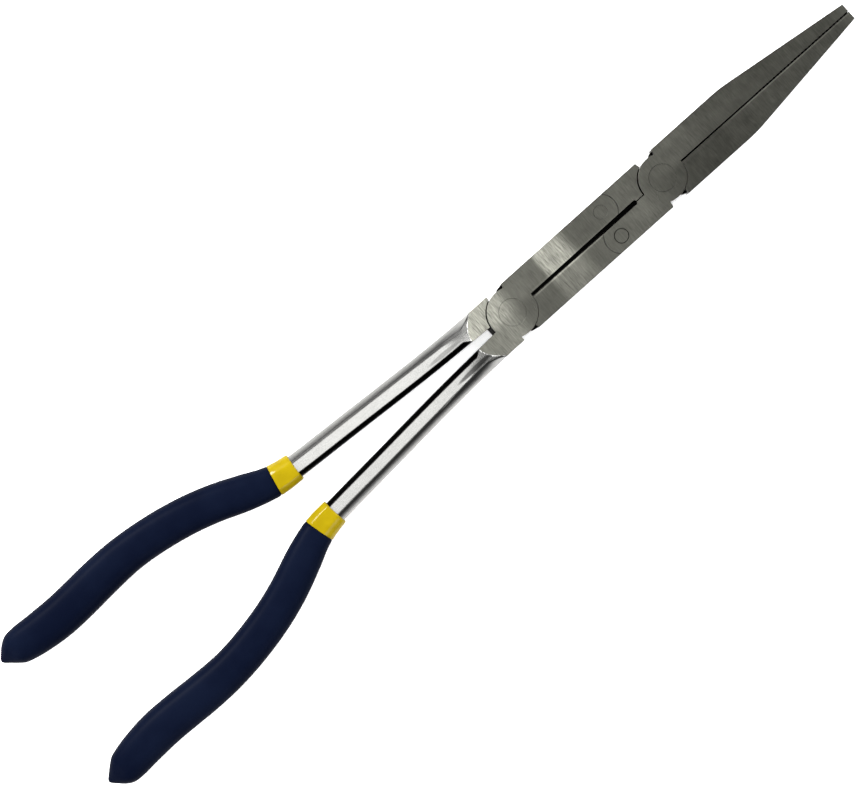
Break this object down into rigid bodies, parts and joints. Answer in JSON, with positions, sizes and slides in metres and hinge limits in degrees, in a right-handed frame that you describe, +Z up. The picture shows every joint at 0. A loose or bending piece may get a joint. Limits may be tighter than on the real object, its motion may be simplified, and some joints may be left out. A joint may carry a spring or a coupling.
{
  "type": "fishing pliers",
  "caption": "Long-reach double-jointed fishing pliers with long flat needle jaws, slim rod handles, yellow collars and dipped navy grips, closed and lying flat.",
  "frame": {"origin": "under the middle of the pliers' length, on the surface that the grips lie on", "axes": "+X towards the jaw tips, +Y towards the left handle, +Z up, square to the ground faces"},
  "size_m": [0.4057, 0.0756, 0.014],
  "materials": {
    "ground_steel": "satin, surface ground across the length, polished on the rods",
    "rivet_steel": "ground flush",
    "yellow_dip": "gloss dipped vinyl",
    "navy_dip": "matte dipped vinyl"
  },
  "bodies": {
    "right_handle": {"right_handle_lever": "ground_steel", "right_collar_sleeve": "yellow_dip", "right_grip": "navy_dip", "handle_pivot_rivet": "rivet_steel", "left_link_rivet": "rivet_steel"},
    "left_handle": {"left_handle_lever": "ground_steel", "left_collar_sleeve": "yellow_dip", "left_grip": "navy_dip", "right_link_rivet": "rivet_steel"},
    "right_jaw": {"right_jaw": "ground_steel", "jaw_pivot_rivet": "rivet_steel"},
    "left_jaw": {"left_jaw": "ground_steel"}
  },
  "joints": [
    {"name": "handle_pivot", "type": "hinge", "parent": "right_handle", "child": "left_handle", "pos_m": [0.03105, 0, 0.00697], "axis": [0, 0, -1], "range_deg": [0, 16]},
    {"name": "left_link_pivot", "type": "hinge", "parent": "right_handle", "child": "right_jaw", "pos_m": [0.08125, 0.006, 0.00697], "axis": [0, 0, -1], "range_deg": [0, 24]},
    {"name": "jaw_pivot", "type": "hinge", "parent": "right_jaw", "child": "left_jaw", "pos_m": [0.10755, 0, 0.00697], "axis": [0, 0, 1], "range_deg": [0, 32]}
  ],
  "couplings": [
    {"joint": "left_link_pivot", "follows": "handle_pivot", "ratio": 1.48},
    {"joint": "jaw_pivot", "follows": "handle_pivot", "ratio": 1.96}
  ]
}
